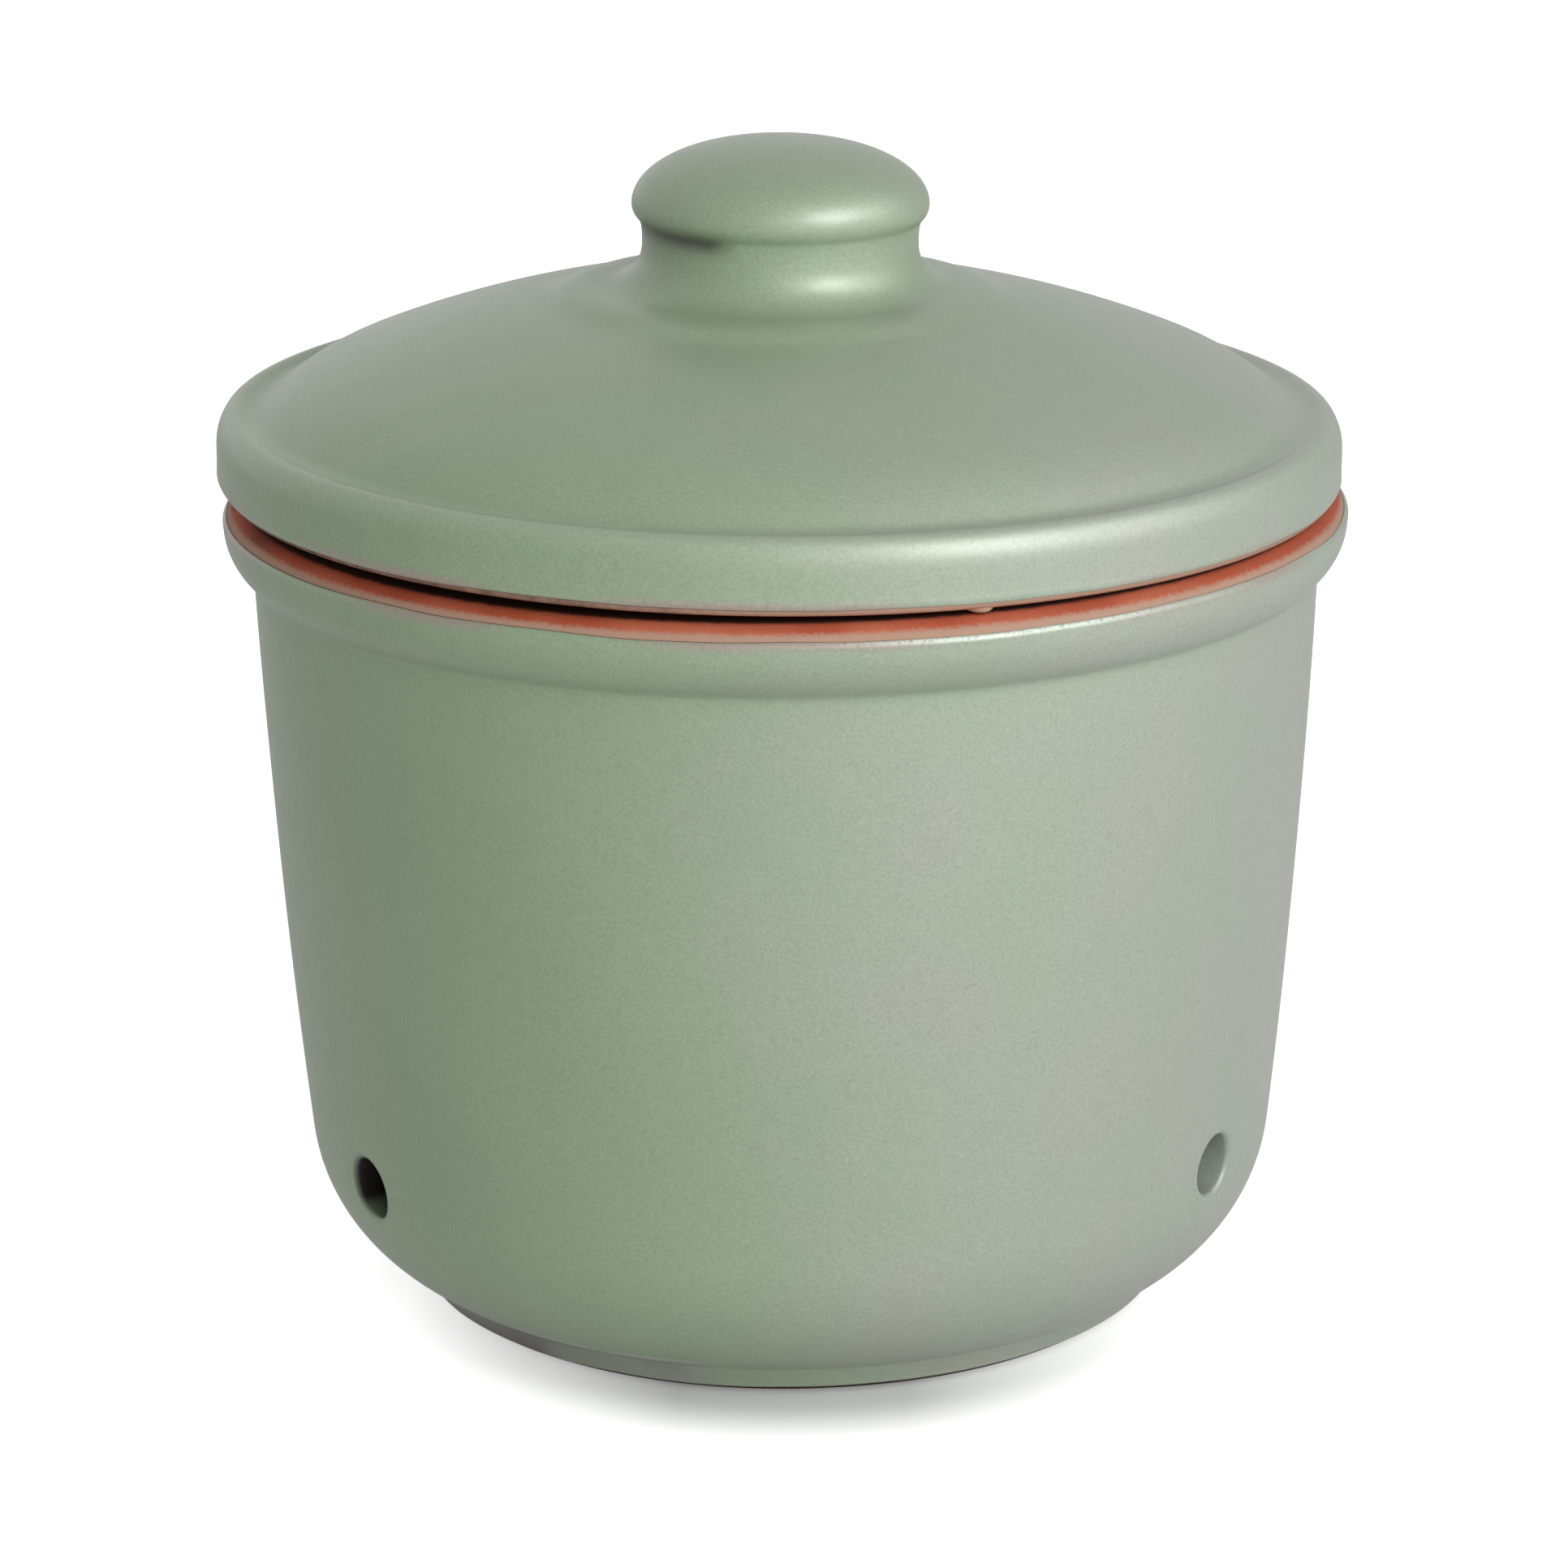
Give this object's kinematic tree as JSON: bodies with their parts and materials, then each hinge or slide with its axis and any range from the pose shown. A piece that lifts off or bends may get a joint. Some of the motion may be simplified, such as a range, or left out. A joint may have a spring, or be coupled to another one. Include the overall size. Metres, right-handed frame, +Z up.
{
  "type": "lidded storage jar",
  "caption": "Tapered earthenware keeper with vent holes near the foot, a rounded rim bead and a loose domed lid with a mushroom knob.",
  "frame": {"origin": "on the floor under the middle of the jar's foot", "axes": "+Z up along the jar's axis, front towards -Y"},
  "size_m": [0.2013, 0.2006, 0.2092],
  "materials": {
    "clay": "bare fired red clay, matte and slightly grainy",
    "glaze": "sage green glaze, satin, faintly mottled"
  },
  "bodies": {
    "jar": {"jar_body": "clay", "jar_glaze": "glaze"},
    "lid": {"lid_body": "clay", "lid_knob": "clay", "lid_glaze": "glaze", "spacer_nubs": "clay"}
  },
  "joints": [
    {"name": "lid_lift", "type": "slide", "parent": "jar", "child": "lid", "axis": [0, 0, 1], "range_m": [0, 0.12]}
  ]
}
